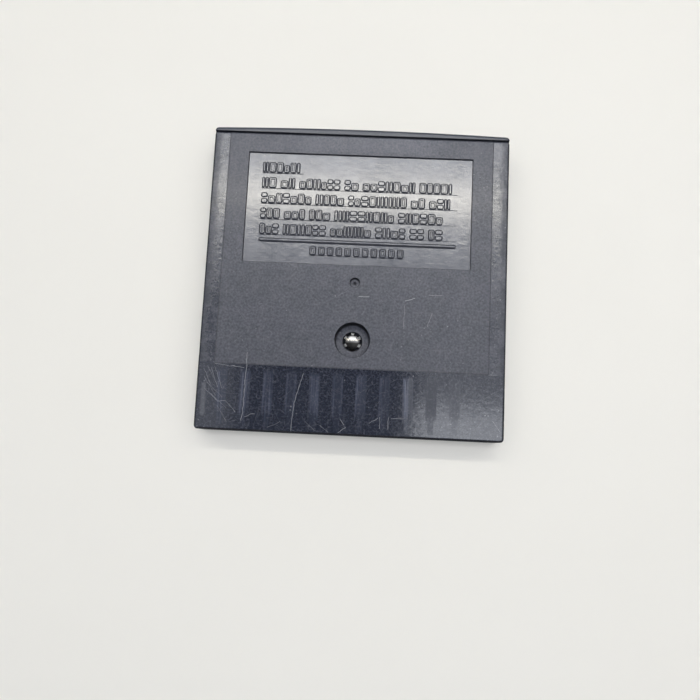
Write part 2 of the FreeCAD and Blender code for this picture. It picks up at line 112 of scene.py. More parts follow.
def blend(tree, share, first, second):
    """A number between first and second."""
    return add_node(tree, "ShaderNodeMix", {0: share, 2: first, 3: second}, data_type="FLOAT").outputs[0]


def tint(tree, share, first, second):
    """A colour between first and second."""
    return add_node(tree, "ShaderNodeMix", {0: share, 6: first, 7: second}, data_type="RGBA").outputs[2]


def chain(tree, operation, values):
    """One step of arithmetic carried on through several numbers."""
    result = values[0]
    for value in values[1:]:
        result = calc(tree, operation, result, value)
    return result


def product(tree, *values):
    """Several numbers multiplied."""
    return chain(tree, "MULTIPLY", values)


def total(tree, *values):
    """Several numbers added."""
    return chain(tree, "ADD", values)


def weighted(tree, *terms):
    """The sum of several numbers, each times its weight."""
    return total(tree, *[product(tree, value, weight) for value, weight in terms])


def largest(tree, *values):
    """The largest of several numbers."""
    return chain(tree, "MAXIMUM", values)


def without(tree, share):
    """What a share leaves of 1."""
    return calc(tree, "SUBTRACT", 1, share)


def noise(tree, position, scale, detail):
    """Cloudy noise from 0 to 1, with scale features to the unit of the position."""
    inputs = {"Vector": position, "Scale": scale, "Detail": detail}
    return add_node(tree, "ShaderNodeTexNoise", inputs).outputs[0]


def stretched(tree, position, factors, turn=0.0):
    """A position turned about z, in degrees, and scaled along each axis, for streaks."""
    inputs = {"Vector": position, "Rotation": (0, 0, math.radians(turn)), "Scale": factors}
    return add_node(tree, "ShaderNodeMapping", inputs, vector_type="POINT").outputs[0]


def sway(tree, position, scale, reach):
    """A smooth random shift, by up to half the reach each way along each axis."""
    inputs = {"Vector": position, "Scale": scale, "Detail": 1}
    colour = add_node(tree, "ShaderNodeTexNoise", inputs).outputs["Color"]
    return vector(tree, "MULTIPLY", vector(tree, "SUBTRACT", colour, (0.5, 0.5, 0.5)), reach)


def part_position(tree):
    """The place on the part in millimetres: across, from the connector mouth, and up."""
    place = add_node(tree, "ShaderNodeTexCoord").outputs["Object"]
    return scaled(tree, vector(tree, "ADD", place, (0, -MOUTH, 0)), 1 / MM)


def new_group(name, inputs):
    """A shader node group that puts out one mask; gives its tree, its inputs and that output."""
    tree = bpy.data.node_groups.new(name, "ShaderNodeTree")
    for label, kind in inputs.items():
        tree.interface.new_socket(label, in_out="INPUT", socket_type="NodeSocket" + kind)
    tree.interface.new_socket("Mask", in_out="OUTPUT", socket_type="NodeSocketFloat")
    return tree, tree.nodes.new("NodeGroupInput").outputs, tree.nodes.new("NodeGroupOutput").inputs["Mask"]


def mask(tree, group, **inputs):
    """The mask of a group that is placed in a tree with these inputs."""
    named = {label.capitalize(): value for label, value in inputs.items()}
    return add_node(tree, "ShaderNodeGroup", named, node_tree=group).outputs["Mask"]


def make_rectangle():
    """1 inside a rectangle and 0 outside: each side's distance falls off over the softness."""
    tree, given, out = new_group("rectangle", {
        "Position": "Vector", "Centre": "Vector", "Half": "Vector", "Softness": "Float"})
    away = vector(tree, "ABSOLUTE", vector(tree, "SUBTRACT", given["Position"], given["Centre"]))
    across, along, _ = split(tree, vector(tree, "SUBTRACT", given["Half"], away))
    inside = calc(tree, "MINIMUM", across, along)
    half_soft = calc(tree, "MULTIPLY", given["Softness"], 0.5)
    connect(tree, rise(tree, inside, calc(tree, "MULTIPLY", half_soft, -1), half_soft), out)
    return tree


def make_hairlines():
    """Fine scratches, straight but for a slight sway: each square cell has at most one, turned and shifted
    by the cell's random colour, and the cells whose third random number is under the share have theirs."""
    tree, given, out = new_group("hairlines", {
        "Position": "Vector", "Spacing": "Float", "Width": "Float", "Share": "Float"})
    place = scaled(tree, given["Position"], calc(tree, "DIVIDE", 1, given["Spacing"]))
    place = vector(tree, "ADD", place, sway(tree, place, 0.8, (0.55, 0.55, 0.55)))
    cell = vector(tree, "FLOOR", place)
    across, along, _ = split(tree, vector(tree, "SUBTRACT", vector(tree, "FRACTION", place), (0.5, 0.5, 0)))
    chance = add_node(tree, "ShaderNodeTexWhiteNoise", {"Vector": cell}).outputs["Color"]
    turn, shift, pick = split(tree, chance)
    angle = calc(tree, "MULTIPLY", turn, math.pi)
    cosine, sine = calc(tree, "COSINE", angle), calc(tree, "SINE", angle)
    run = total(tree, product(tree, across, cosine), product(tree, along, sine))
    off = calc(tree, "SUBTRACT", product(tree, along, cosine), product(tree, across, sine))
    off = calc(tree, "ADD", off, calc(tree, "MULTIPLY_ADD", shift, 0.5, -0.25))
    narrow = calc(tree, "DIVIDE", given["Width"], given["Spacing"])
    line = rise(tree, calc(tree, "ABSOLUTE", off), narrow, 0)
    ends = rise(tree, calc(tree, "ABSOLUTE", run), 0.5, 0.2)
    inside = product(tree, *[rise(tree, calc(tree, "ABSOLUTE", side), 0.5, 0.4) for side in (across, along)])
    connect(tree, product(tree, line, ends, inside, calc(tree, "LESS_THAN", pick, given["Share"])), out)
    return tree


def make_dust():
    """Small round specks: the inside of each random cell that is nearer its centre than the size,
    in the cells whose random number is under the share."""
    tree, given, out = new_group("dust", {
        "Position": "Vector", "Spacing": "Float", "Size": "Float", "Share": "Float"})
    inputs = {"Vector": given["Position"], "Scale": calc(tree, "DIVIDE", 1, given["Spacing"])}
    cells = add_node(tree, "ShaderNodeTexVoronoi", inputs).outputs
    pick, size, _ = split(tree, cells["Color"])
    reach = calc(tree, "DIVIDE", product(tree, given["Size"], size), given["Spacing"])
    speck = rise(tree, cells["Distance"], reach, calc(tree, "MULTIPLY", reach, 0.4))
    connect(tree, product(tree, speck, calc(tree, "LESS_THAN", pick, given["Share"])), out)
    return tree


def make_grain():
    """The pebbled skin that a sparked mould leaves: two sizes of noise added, about 0 to 1."""
    tree, given, out = new_group("mould_grain", {"Position": "Vector", "Fineness": "Float"})
    coarse = noise(tree, given["Position"], given["Fineness"], 3)
    fine = noise(tree, given["Position"], calc(tree, "MULTIPLY", given["Fineness"], 2.7), 2)
    connect(tree, weighted(tree, (coarse, 0.6), (fine, 0.4)), out)
    return tree


def new_material(name, constants):
    """A node material whose shader has these plain values; gives it with its tree and its shader."""
    material = bpy.data.materials.new(name)
    material.use_nodes = True
    shader = material.node_tree.nodes["Principled BSDF"]
    for label, value in constants.items():
        shader.inputs[label].default_value = value
    return material, material.node_tree, shader


def finish_shader(tree, shader, height, values):
    """Link what changes over the surface, and let heights in millimetres bend its shading."""
    for label, value in values.items():
        connect(tree, value, shader.inputs[label])
    bump = add_node(tree, "ShaderNodeBump", {"Height": height, "Distance": MM})
    connect(tree, bump.outputs["Normal"], shader.inputs["Normal"])


def dress(material, *nodes):
    """Put a material on every slot of these CAD nodes."""
    for node in nodes:
        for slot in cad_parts[node].material_slots:
            slot.material = material


RECTANGLE, HAIRLINES, DUST, GRAIN = make_rectangle(), make_hairlines(), make_dust(), make_grain()


def outer_walls(tree, place):
    """1 on the sides, the mouth end and the corners between them, which the mould left dull; on the rear
    shell they are also darkened with painted shade.
    """
    _, along, up = split(tree, place)
    corners = product(tree, rise(tree, along, *CORNER_ALONG), rise(tree, up, *CORNER_UP))
    face = mask(tree, RECTANGLE, position=place, centre=WALL_CENTRE, half=WALL_HALF, softness=0.16)
    return largest(tree, corners, without(tree, face))


def front_shell_plastic():
    """Black plastic with a half-gloss skin that handling has worn pale and scratched, a smoother recess
    for a label, and dull outer walls."""
    material, tree, shader = new_material("front_shell_plastic", {"Coat Roughness": 0.14})
    place = part_position(tree)
    cloud = noise(tree, place, 0.12, 4)
    worn = calc(tree, "MULTIPLY_ADD", cloud, 0.2, 0.06)
    grain = mask(tree, GRAIN, position=place, fineness=5.0)
    recess = mask(tree, RECTANGLE, position=place, centre=LABEL_CENTRE, half=LABEL_HALF, softness=0.2)
    smooth = product(tree, recess, rise(tree, split(tree, place)[2], *LABEL_UP))
    dull = outer_walls(tree, place)
    skin = without(tree, dull)
    lines = largest(
        tree, mask(tree, HAIRLINES, position=place, spacing=7.0, width=0.07, share=0.4),
        mask(tree, HAIRLINES, position=place, spacing=3.1, width=0.05, share=0.35))
    specks = mask(tree, DUST, position=place, spacing=2.4, size=0.16, share=0.12)
    marks = largest(tree, product(tree, lines, 0.45), product(tree, specks, 0.7))
    pale = largest(tree, marks, product(tree, worn, skin))
    gloss = total(tree, blend(tree, smooth, 0.3, 0.22), product(tree, cloud, 0.16))
    height = weighted(tree, (grain, 0.006), (marks, -0.006))
    finish_shader(tree, shader, height, {
        "Base Color": tint(tree, pale, SHELL_BLACK, SHELL_SCUFF),
        "Roughness": blend(tree, dull, gloss, WALL_ROUGHNESS),
        "Coat Weight": product(tree, blend(tree, marks, 0.35, 0.05), skin)})
    return material


dress(front_shell_plastic(), "front_shell")

# Circuit board: the card that plugs into the console, laid in the tray over a post and two pegs.
# It is woven glass and resin under a green solder mask, with copper tracks that show through,
# and its cut edges show the bare laminate.
BOARD_GREEN = (0.012, 0.105, 0.042, 1)
BOARD_SHADE = (0.008, 0.07, 0.03, 1)
TRACK_GREEN = (0.03, 0.21, 0.075, 1)
LAMINATE = (0.33, 0.30, 0.14, 1)
CONTACT_PITCH = 1.25
TRACK_FROM, TRACK_TO = (12.0, 12.2), (31.0, 30.5)
TRACK_HALF = (0.17, 0.12)
WEAVE_RATE = 9
EDGE_BARE = 0.08
board_low, board_high = (1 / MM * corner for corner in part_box("circuit_board"))


def board_laminate():
    """Green solder mask with a track in line with each contact, glass weave and a raw edge."""
    material, tree, shader = new_material("board_laminate", {"Coat Roughness": 0.2, "Coat Weight": 0.4})
    place = part_position(tree)
    across, along, _ = split(tree, place)
    step = calc(tree, "FRACT", calc(tree, "MULTIPLY_ADD", across, 1 / CONTACT_PITCH, 0.5))
    beside = calc(tree, "ABSOLUTE", calc(tree, "SUBTRACT", step, 0.5))
    tracks = product(
        tree, rise(tree, beside, *TRACK_HALF), rise(tree, along, *TRACK_FROM), rise(tree, along, *TRACK_TO))
    weave = total(
        tree, *[calc(tree, "SINE", calc(tree, "MULTIPLY", way, WEAVE_RATE)) for way in (across, along)])
    length = board_high.y - board_low.y
    skin = mask(
        tree, RECTANGLE, position=place, centre=(0, board_low.y - MOUTH / MM + length / 2, 0),
        half=(board_high.x - EDGE_BARE, length / 2 - EDGE_BARE, 0), softness=0.1)
    cloud = noise(tree, place, 0.4, 3)
    green = tint(tree, tracks, BOARD_GREEN, TRACK_GREEN)
    green = tint(tree, product(tree, cloud, 0.35), green, BOARD_SHADE)
    height = weighted(tree, (tracks, 0.02), (weave, 0.0015))
    finish_shader(tree, shader, height, {
        "Base Color": tint(tree, skin, LAMINATE, green),
        "Roughness": blend(tree, skin, 0.75, calc(tree, "MULTIPLY_ADD", cloud, 0.15, 0.25))})
    return material


dress(board_laminate(), "circuit_board")

# Edge contacts: the row of plated copper pads along the board's edge, flat on the solder mask.
# The plating is gold over nickel, and the console's springs have drawn fine lines along it.
CONTACT_GOLD = (0.83, 0.58, 0.22, 1)
CONTACT_WORN = (0.62, 0.50, 0.32, 1)


def contact_gold():
    """Gold plating with streaks along the way the board slides, and dull patches."""
    material, tree, shader = new_material("contact_gold", {"Metallic": 1.0})
    place = part_position(tree)
    streaks = noise(tree, stretched(tree, place, (7, 0.35, 1)), 1.0, 4)
    worn = rise(tree, streaks, 0.5, 0.68)
    dull = noise(tree, place, 0.9, 3)
    finish_shader(tree, shader, product(tree, streaks, 0.004), {
        "Base Color": tint(tree, worn, CONTACT_GOLD, CONTACT_WORN),
        "Roughness": total(tree, weighted(tree, (dull, 0.2), (worn, 0.15)), 0.12)})
    return material


dress(contact_gold(), "edge_contacts")

# Memory chip: a block of moulded epoxy in the middle of the board, held by its legs.
# The resin is nearly black and full of fine silica, so it is matte and speckled.
RESIN_BLACK = (0.018, 0.018, 0.019, 1)
RESIN_GREY = (0.05, 0.05, 0.052, 1)


def chip_resin():
    """Matte epoxy with pale specks of filler and a fine pebbled skin."""
    material, tree, shader = new_material("chip_resin", {})
    place = part_position(tree)
    grain = mask(tree, GRAIN, position=place, fineness=9.0)
    filler = mask(tree, DUST, position=place, spacing=0.35, size=0.2, share=0.5)
    finish_shader(tree, shader, product(tree, grain, 0.012), {
        "Base Color": tint(tree, product(tree, filler, 0.6), RESIN_BLACK, RESIN_GREY),
        "Roughness": calc(tree, "MULTIPLY_ADD", grain, 0.25, 0.42)})
    return material


dress(chip_resin(), "rom_package")

# Chip legs and capacitor ends: thin metal strips bent down from the chip to their solder pads,
# and the caps on the two ends of the capacitor. All of them are tinned and a little dull.
TIN_BRIGHT = (0.70, 0.70, 0.68, 1)
TIN_DULL = (0.46, 0.455, 0.44, 1)


def lead_tin():
    """Tin plating, clouded and slightly uneven from the solder bath."""
    material, tree, shader = new_material("lead_tin", {"Metallic": 1.0})
    place = part_position(tree)
    cloud = noise(tree, place, 1.6, 4)
    finish_shader(tree, shader, product(tree, cloud, 0.02), {
        "Base Color": tint(tree, rise(tree, cloud, 0.4, 0.65), TIN_BRIGHT, TIN_DULL),
        "Roughness": calc(tree, "MULTIPLY_ADD", cloud, 0.3, 0.18)})
    return material


dress(lead_tin(), "rom_leads", "capacitor_ends")

# Capacitor: one small block of layered ceramic soldered to the board beside the chip.
# Fired ceramic is brown-grey, with pores and a dull surface.
CERAMIC_TAN = (0.27, 0.17, 0.10, 1)
CERAMIC_DARK = (0.17, 0.105, 0.06, 1)


def capacitor_ceramic():
    """Fired ceramic with soft mottling and small dark pores."""
    material, tree, shader = new_material("capacitor_ceramic", {})
    place = part_position(tree)
    cloud = noise(tree, place, 2.2, 4)
    pores = mask(tree, DUST, position=place, spacing=0.4, size=0.15, share=0.4)
    finish_shader(tree, shader, weighted(tree, (cloud, 0.01), (pores, -0.02)), {
        "Base Color": tint(tree, largest(tree, pores, cloud), CERAMIC_TAN, CERAMIC_DARK),
        "Roughness": calc(tree, "MULTIPLY_ADD", cloud, 0.25, 0.4)})
    return material


dress(capacitor_ceramic(), "capacitor_body")

# Rear shell: the moulded cover that lies face up. Its middle is a matte field from a sparked
# mould, while the band by the mouth, the side strips and the sunk panel are polished.
# Ten fingers of the console have rubbed stripes into the band, and hands have scratched it.
FIELD_CENTRE, FIELD_HALF = (0, 41.2, 0), (29.5, 27.0, 0)
PANEL_CENTRE, PANEL_HALF = (0, 49.55, 0), (25.0, 12.6, 0)
LID_CENTRE, LID_HALF = (0, 33.3, 0), (32.0, 32.6, 0)
FIELD_LINE, PANEL_LINE_OUT, PANEL_LINE_IN = 0.2, 0.08, 0.12
SKIN_UP, PANEL_UP, BAND_ALONG = (6.0, 6.15), (8.3, 8.5), (14.4, 14.1)
RIGHT_ACROSS, RIM_ACROSS = (11, 14), (30.4, 32.4)
MIDDLE_ALONG, MIDDLE_ACROSS = (61.5, 65.0), (24, 8)
PANEL_DEPTH, ROW_RISE = 0.45, 0.25
ROW_TOP = cad_high.z / MM - PANEL_DEPTH + ROW_RISE
SLOPE_FOOT, SLOPE_HEAD = (ROW_TOP + 0.03, ROW_TOP + 0.05), (ROW_TOP + 0.155, ROW_TOP + 0.135)
WELL_CENTRE, WELL_RADIUS, WELL_SHADE = (0, 20.5, 0), 3.8, 0.4
GATE_CENTRE, GATE_RADIUS, GATE_SHADE = (0, 33.1, 0), 1.15, 0.42
GATE_PIT, GATE_PIT_BASE, GATE_PIT_WIDTH = (0, 33.1, 8.2), (0, 33.1, 7.5), 0.6
HOLE_UP, HOLE_IN, HOLE_OUT = (8.97, 8.87), 0.06, (0.2, 0.1)
STRIPE_PITCH, STRIPE_SHIFT = 5.0, 0.02
# Each stripe is its half width in pitches, its start and its end along, with a fade at each.
WIDE_STRIPE = ((0.25, 0.19), (3.0, 5.6), (13.4, 12.4))
NARROW_STRIPE = ((0.15, 0.08), (0.5, 1.8), (6.0, 4.5))
STRIPED_MIDDLE, STRIPED_HALF = -1.5, (28.5, 27.0)
SHELL_RUBBED = (0.15, 0.165, 0.235, 1)
SHELL_STAIN = (0.205, 0.195, 0.24, 1)
SHELL_SCRATCH = (0.33, 0.33, 0.345, 1)
# Each scratch is its width and its strength, then the points that it runs through.
SCRATCHES = (
    (0.07, 0.8, (-22.5, 16.7), (-22.6, 5.0), (-22.9, 2.0)),
    (0.07, 0.8, (-10.1, 12.7), (-11.4, 8.0), (-11.9, 4.5), (-12.1, 0.3)),
    (0.05, 0.7, (-31.1, 8.6), (-28.1, 6.0), (-26.5, 6.2), (-24.2, 3.9)),
    (0.05, 0.7, (-30.0, 13.2), (-28.4, 9.0)),
    (0.05, 0.6, (-29.2, 13.4), (-27.5, 8.8)),
    (0.06, 0.7, (-29.4, 14.1), (-23.0, 13.4)),
    (0.04, 0.6, (-31.6, 12.9), (-29.8, 9.4)),
    (0.04, 0.6, (-31.3, 11.2), (-28.7, 7.2)),
    (0.04, 0.5, (-30.8, 10.1), (-27.2, 6.9)),
    (0.04, 0.5, (-30.9, 13.6), (-29.3, 10.9)),
    (0.04, 0.5, (-29.9, 7.7), (-26.2, 4.6)),
    (0.04, 0.4, (-28.3, 5.2), (-25.9, 1.6)),
    (0.06, 0.8, (-22.2, 3.0), (-20.9, 3.7), (-19.9, 3.6)),
    (0.07, 0.8, (-1.7, 3.5), (-1.0, 2.2)),
    (0.07, 0.8, (-2.1, 0.5), (-0.5, 1.6)),
    (0.05, 0.6, (-6.1, 1.9), (-4.2, 0.6)),
    (0.05, 0.5, (-17.2, 1.0), (-14.4, 2.3)),
    (0.05, 0.5, (-9.2, 2.5), (-7.0, 0.7)),
    (0.06, 0.7, (4.4, 2.7), (6.2, 4.0)),
    (0.06, 0.7, (9.1, 4.0), (11.7, 4.1)),
    (0.08, 0.6, (6.6, 1.8), (6.7, 4.2)),
    (0.08, 0.6, (8.4, 1.8), (8.5, 4.2)),
    (0.05, 0.6, (30.4, 4.5), (32.2, 2.2)),
    (0.1, 0.7, (1.0, 30.1), (3.2, 30.1)),
    (0.12, 0.7, (11.2, 29.5), (13.2, 30.2)),
    (0.07, 0.45, (11.0, 28.5), (11.0, 23.5)),
    (0.07, 0.45, (17.0, 27.0), (16.0, 24.0)),
    (0.08, 0.6, (16.2, 31.0), (19.0, 31.0)),
    (0.05, 0.5, (-17.0, 61.4), (-17.1, 59.8)),
    (0.05, 0.4, (-3.0, 59.0), (-1.3, 58.2), (0.0, 56.5)),
    (0.05, 0.4, (-25.0, 50.0), (-18.0, 49.3)),
    (0.7, 0.16, (-31.4, 9.5), (-31.3, 3.2)),
)


def magnitude(tree, value):
    """How long a vector is."""
    return add_node(tree, "ShaderNodeVectorMath", {0: value}, operation="LENGTH").outputs["Value"]


def make_scratch():
    """One straight scratch: the distance from the nearest point of the line between two ends, less
    than the width."""
    tree, given, out = new_group("scratch", {
        "Position": "Vector", "Start": "Vector", "End": "Vector", "Width": "Float"})
    run = vector(tree, "SUBTRACT", given["End"], given["Start"])
    away = vector(tree, "SUBTRACT", given["Position"], given["Start"])
    dots = [
        add_node(tree, "ShaderNodeVectorMath", {0: first, 1: run}, operation="DOT_PRODUCT").outputs["Value"]
        for first in (away, run)]
    share = add_node(tree, "ShaderNodeClamp", {0: calc(tree, "DIVIDE", *dots)}).outputs[0]
    off = vector(tree, "SUBTRACT", away, scaled(tree, run, share))
    sharp = calc(tree, "MULTIPLY", given["Width"], 0.3)
    connect(tree, rise(tree, magnitude(tree, off), given["Width"], sharp), out)
    return tree


SCRATCH = make_scratch()


def listed_scratches(tree, flat_place):
    """The scratches that the list names, each run from point to point on the rear face."""
    marks = []
    for width, strength, *points in SCRATCHES:
        for start, end in zip(points, points[1:]):
            line = mask(tree, SCRATCH, position=flat_place, start=(*start, 0), end=(*end, 0), width=width)
            marks.append(product(tree, line, strength))
    return largest(tree, *marks)


def rub_stripes(tree, place):
    """Bundles of fine streaks at an even pitch across the band: long ones with frayed ends, and narrower
    ones below them, each stripe stronger or weaker at random. Gives the bundles, and the bundles broken up
    by noise drawn out along the streaks."""
    across, along, _ = split(tree, place)
    count = calc(tree, "MULTIPLY_ADD", across, 1 / STRIPE_PITCH, STRIPE_SHIFT)
    chance = add_node(tree, "ShaderNodeTexWhiteNoise", {"W": calc(tree, "FLOOR", count)},
                      noise_dimensions="1D").outputs["Value"]
    beside = calc(tree, "ABSOLUTE", calc(tree, "SUBTRACT", calc(tree, "FRACT", count), 0.5))
    streaks = noise(tree, stretched(tree, place, (2.6, 0.06, 1)), 1.0, 3)
    frayed = total(tree, along, calc(tree, "MULTIPLY_ADD", streaks, 4.0, -2.0))

    def bundle(run, half, start, end):
        """1 near the middle of a stripe and between its two ends along the run."""
        return product(tree, rise(tree, beside, *half), rise(tree, run, *start), rise(tree, run, *end))

    wide, narrow = bundle(frayed, *WIDE_STRIPE), bundle(along, *NARROW_STRIPE)
    inner = rise(tree, calc(tree, "ABSOLUTE", calc(tree, "SUBTRACT", across, STRIPED_MIDDLE)), *STRIPED_HALF)
    bundles = product(tree, largest(tree, wide, product(tree, narrow, 0.4)), inner)
    bundles = product(tree, bundles, calc(tree, "MULTIPLY_ADD", chance, 0.6, 0.4))
    return bundles, product(tree, bundles, rise(tree, streaks, 0.45, 0.7))


def from_axis(tree, place, centre):
    """The level offset from an upright axis."""
    return vector(tree, "MULTIPLY", vector(tree, "SUBTRACT", place, centre), (1, 1, 0))


def hole_wall(tree, place, centre, radius, shade):
    """1 on the upright wall of a round hole in the rear face and on the rim of its floor, a shade wide: where
    painted shade darkens the hole.
    """
    reach = magnitude(tree, from_axis(tree, place, centre))
    inner = rise(tree, reach, radius - shade, radius - HOLE_IN)
    outer = rise(tree, reach, *[radius + margin for margin in HOLE_OUT])
    return product(tree, inner, outer, rise(tree, split(tree, place)[2], *HOLE_UP))


def rear_regions(tree, place):
    """Masks of the rear face: matte field, panel, band by the mouth, and the places darkened with painted
    shade: the lines round field and panel, the hollows (the shell's inside, the gate's pit and the walls of
    well and gate), and the dull outer walls."""
    _, along, up = split(tree, place)
    top = rise(tree, up, *SKIN_UP)

    def box(centre, half, widening=0.0):
        """1 inside a rectangle that is made wider on every side."""
        size = (half[0] + widening, half[1] + widening, 0)
        return mask(tree, RECTANGLE, position=place, centre=centre, half=size, softness=0.1)

    panel = product(tree, rise(tree, up, *PANEL_UP), box(PANEL_CENTRE, PANEL_HALF))
    field = product(tree, top, box(FIELD_CENTRE, FIELD_HALF))
    matte = product(tree, field, without(tree, panel))
    band = product(tree, top, rise(tree, along, *BAND_ALONG))
    around = box(PANEL_CENTRE, PANEL_HALF, PANEL_LINE_OUT)
    lines = largest(
        tree, calc(tree, "SUBTRACT", field, box(FIELD_CENTRE, FIELD_HALF, -FIELD_LINE)),
        calc(tree, "SUBTRACT", around, box(PANEL_CENTRE, PANEL_HALF, -PANEL_LINE_IN)))
    inside = product(tree, box(LID_CENTRE, LID_HALF), without(tree, top))
    pit = mask(tree, SCRATCH, position=place, start=GATE_PIT, end=GATE_PIT_BASE, width=GATE_PIT_WIDTH)
    hollows = largest(
        tree, inside, pit, hole_wall(tree, place, WELL_CENTRE, WELL_RADIUS, WELL_SHADE),
        hole_wall(tree, place, GATE_CENTRE, GATE_RADIUS, GATE_SHADE))
    return matte, panel, band, product(tree, top, lines), hollows, outer_walls(tree, place)


def rear_marks(tree, place, band):
    """The listed scratches, their run a little unsteady, and hairlines and specks at random, with more of
    the hairlines on the band and more of the specks where the plastic was knocked."""
    flat_place = vector(tree, "MULTIPLY", place, (1, 1, 0))
    unsteady = vector(tree, "ADD", flat_place, sway(tree, flat_place, 0.7, (0.5, 0.5, 0)))
    drawn = listed_scratches(tree, unsteady)
    hairs = largest(
        tree, mask(tree, HAIRLINES, position=place, spacing=5.5, width=0.05, share=0.7),
        mask(tree, HAIRLINES, position=place, spacing=1.3, width=0.05, share=0.5))
    knocked = rise(tree, noise(tree, place, 0.16, 2), 0.5, 0.66)
    short = product(tree, mask(tree, HAIRLINES, position=place, spacing=2.6, width=0.05, share=0.5), band)
    specks = largest(
        tree, mask(tree, DUST, position=place, spacing=2.1, size=0.17, share=0.12),
        product(tree, mask(tree, DUST, position=place, spacing=0.7, size=0.24, share=0.35), knocked, 0.8))
    return largest(
        tree, drawn, product(tree, hairs, 0.19), product(tree, short, 0.2), product(tree, specks, 0.7))


def strip_soil(tree, place, strips):
    """Soil on the side strips: a rise towards the edges plus patchy noise drawn out along the sides."""
    rim = rise(tree, calc(tree, "ABSOLUTE", split(tree, place)[0]), *RIM_ACROSS)
    patches = noise(tree, stretched(tree, place, (1.3, 0.5, 1)), 1.0, 5)
    patches = calc(tree, "MULTIPLY_ADD", patches, 1.2, -0.6)
    return product(tree, strips, rise(tree, total(tree, product(tree, rim, 0.6), patches), -0.1, 0.9))


def clouding(tree, position, scale, detail):
    """Cloudy noise about 0, half a unit each way."""
    return calc(tree, "SUBTRACT", noise(tree, position, scale, detail), 0.5)


def rear_shell_plastic():
    """Black plastic with a matte field and polished band, strips and panel. Rub stripes, smears and soil dull
    the polish, scuffs and scratches pale the colour, and grain and shallow dents bend the shading. Painted
    shade darkens the hollows, the outer walls, the lines round field and panel and the slopes of the panel
    rows, and the panel's even paleness is partly a painted sheen."""
    material, tree, shader = new_material("rear_shell_plastic", {
        "Coat Roughness": 0.12, "Specular IOR Level": 0.62})
    place = part_position(tree)
    across, along, up = split(tree, place)
    matte, panel, band, lines, hollows, walls = rear_regions(tree, place)
    strips = without(tree, largest(tree, matte, panel, band))
    soil = strip_soil(tree, place, strips)
    marks = rear_marks(tree, place, band)
    bundles, streaks = (product(tree, band, stripes) for stripes in rub_stripes(tree, place))
    right = rise(tree, across, *RIGHT_ACROSS)
    cloud = noise(tree, place, 0.11, 3)
    blotch = clouding(tree, place, 0.4, 3)
    mottle = clouding(tree, place, 2.2, 3)
    smear = clouding(tree, stretched(tree, place, (0.3, 0.12, 1), 20), 1.0, 4)
    rubs = clouding(tree, stretched(tree, place, (0.5, 1.4, 1), 12), 1.0, 3)
    # Painted shade: the slopes of the panel rows, the lines round field and panel, the hollows and the outer
    # walls are turned towards black, dull and without coat.
    slopes = product(tree, panel, rise(tree, up, *SLOPE_FOOT), rise(tree, up, *SLOPE_HEAD))
    shaded = largest(tree, hollows, walls, product(tree, lines, 0.5), product(tree, slopes, 0.75))

    polished = blend(tree, panel, blend(tree, band, 0.19, 0.09), 0.17)
    uneven = weighted(tree, (smear, 0.2), (rubs, -0.15), (mottle, 0.1))
    handled = total(tree, 1.0, weighted(tree, (band, -0.6), (strips, 0.7)))
    dulled = blend(tree, right, 0.06, 0.4)
    gloss = total(tree, blend(tree, matte, polished, 0.45), weighted(
        tree, (streaks, 0.12), (soil, 0.3), (bundles, dulled), (uneven, handled)))

    coat = product(
        tree, blend(tree, matte, blend(tree, panel, blend(tree, band, 0.45, 0.4), 1.0), 0.14),
        without(tree, product(tree, bundles, 0.75)), without(tree, product(tree, soil, 0.8)),
        blend(tree, marks, 1.0, 0.2), calc(tree, "MULTIPLY_ADD", smear, 0.9, 1.0),
        calc(tree, "MULTIPLY_ADD", rubs, blend(tree, strips, 1.0, 1.8), 1.0),
        calc(tree, "MULTIPLY_ADD", mottle, 0.8, 1.0), without(tree, shaded))

    middle = product(
        tree, rise(tree, along, *MIDDLE_ALONG), rise(tree, calc(tree, "ABSOLUTE", across), *MIDDLE_ACROSS))
    worn = total(tree, 0.14, weighted(tree, (cloud, 0.06), (mottle, 0.75), (blotch, 0.2), (middle, 0.14)))
    dirty = product(tree, strips, total(tree, 0.09, weighted(tree, (mottle, 0.6), (blotch, 0.6))))
    # The panel's paleness is partly smears and partly a painted sheen spread evenly over it.
    pale = largest(
        tree, product(tree, matte, worn), product(tree, band, mottle, 0.9), dirty,
        product(tree, panel, calc(tree, "MULTIPLY_ADD", smear, 0.3, 0.16)))
    rubbed = product(tree, weighted(tree, (bundles, 0.12), (streaks, 0.5)), blend(tree, right, 1.0, 0.1))
    colour = tint(tree, rubbed, SHELL_BLACK, SHELL_RUBBED)
    colour = tint(tree, pale, colour, tint(tree, cloud, SHELL_SCUFF, SHELL_STAIN))
    colour = tint(tree, product(tree, marks, blend(tree, panel, 1.0, 0.25)), colour, SHELL_SCRATCH)

    grain = product(tree, mask(tree, GRAIN, position=place, fineness=5.0), blend(tree, matte, 0.0025, 0.008))
    dents = noise(tree, stretched(tree, place, (0.8, 1.1, 1), 15), 1.0, 4)
    height = total(tree, grain, product(tree, dents, blend(tree, matte, blend(tree, band, 0.045, 0.016), 0)))
    finish_shader(tree, shader, height, {
        "Base Color": tint(tree, product(tree, shaded, 0.75), colour, (0, 0, 0, 1)),
        "Roughness": blend(tree, shaded, gloss, WALL_ROUGHNESS), "Coat Weight": coat})
    return material


REAR_PLASTIC = rear_shell_plastic()
dress(REAR_PLASTIC, "rear_shell")

# Panel rows: low plain blocks along the raised rows of the sunk panel, and one long rule.
# They are moulded in one with the rear shell, with sloped sides so that they leave the mould.
BLOCK_ROUND, ROUND_SHARE, ROUND_LEAST = 0.28, 0.8, 0.02
CORNER_POINTS = 4
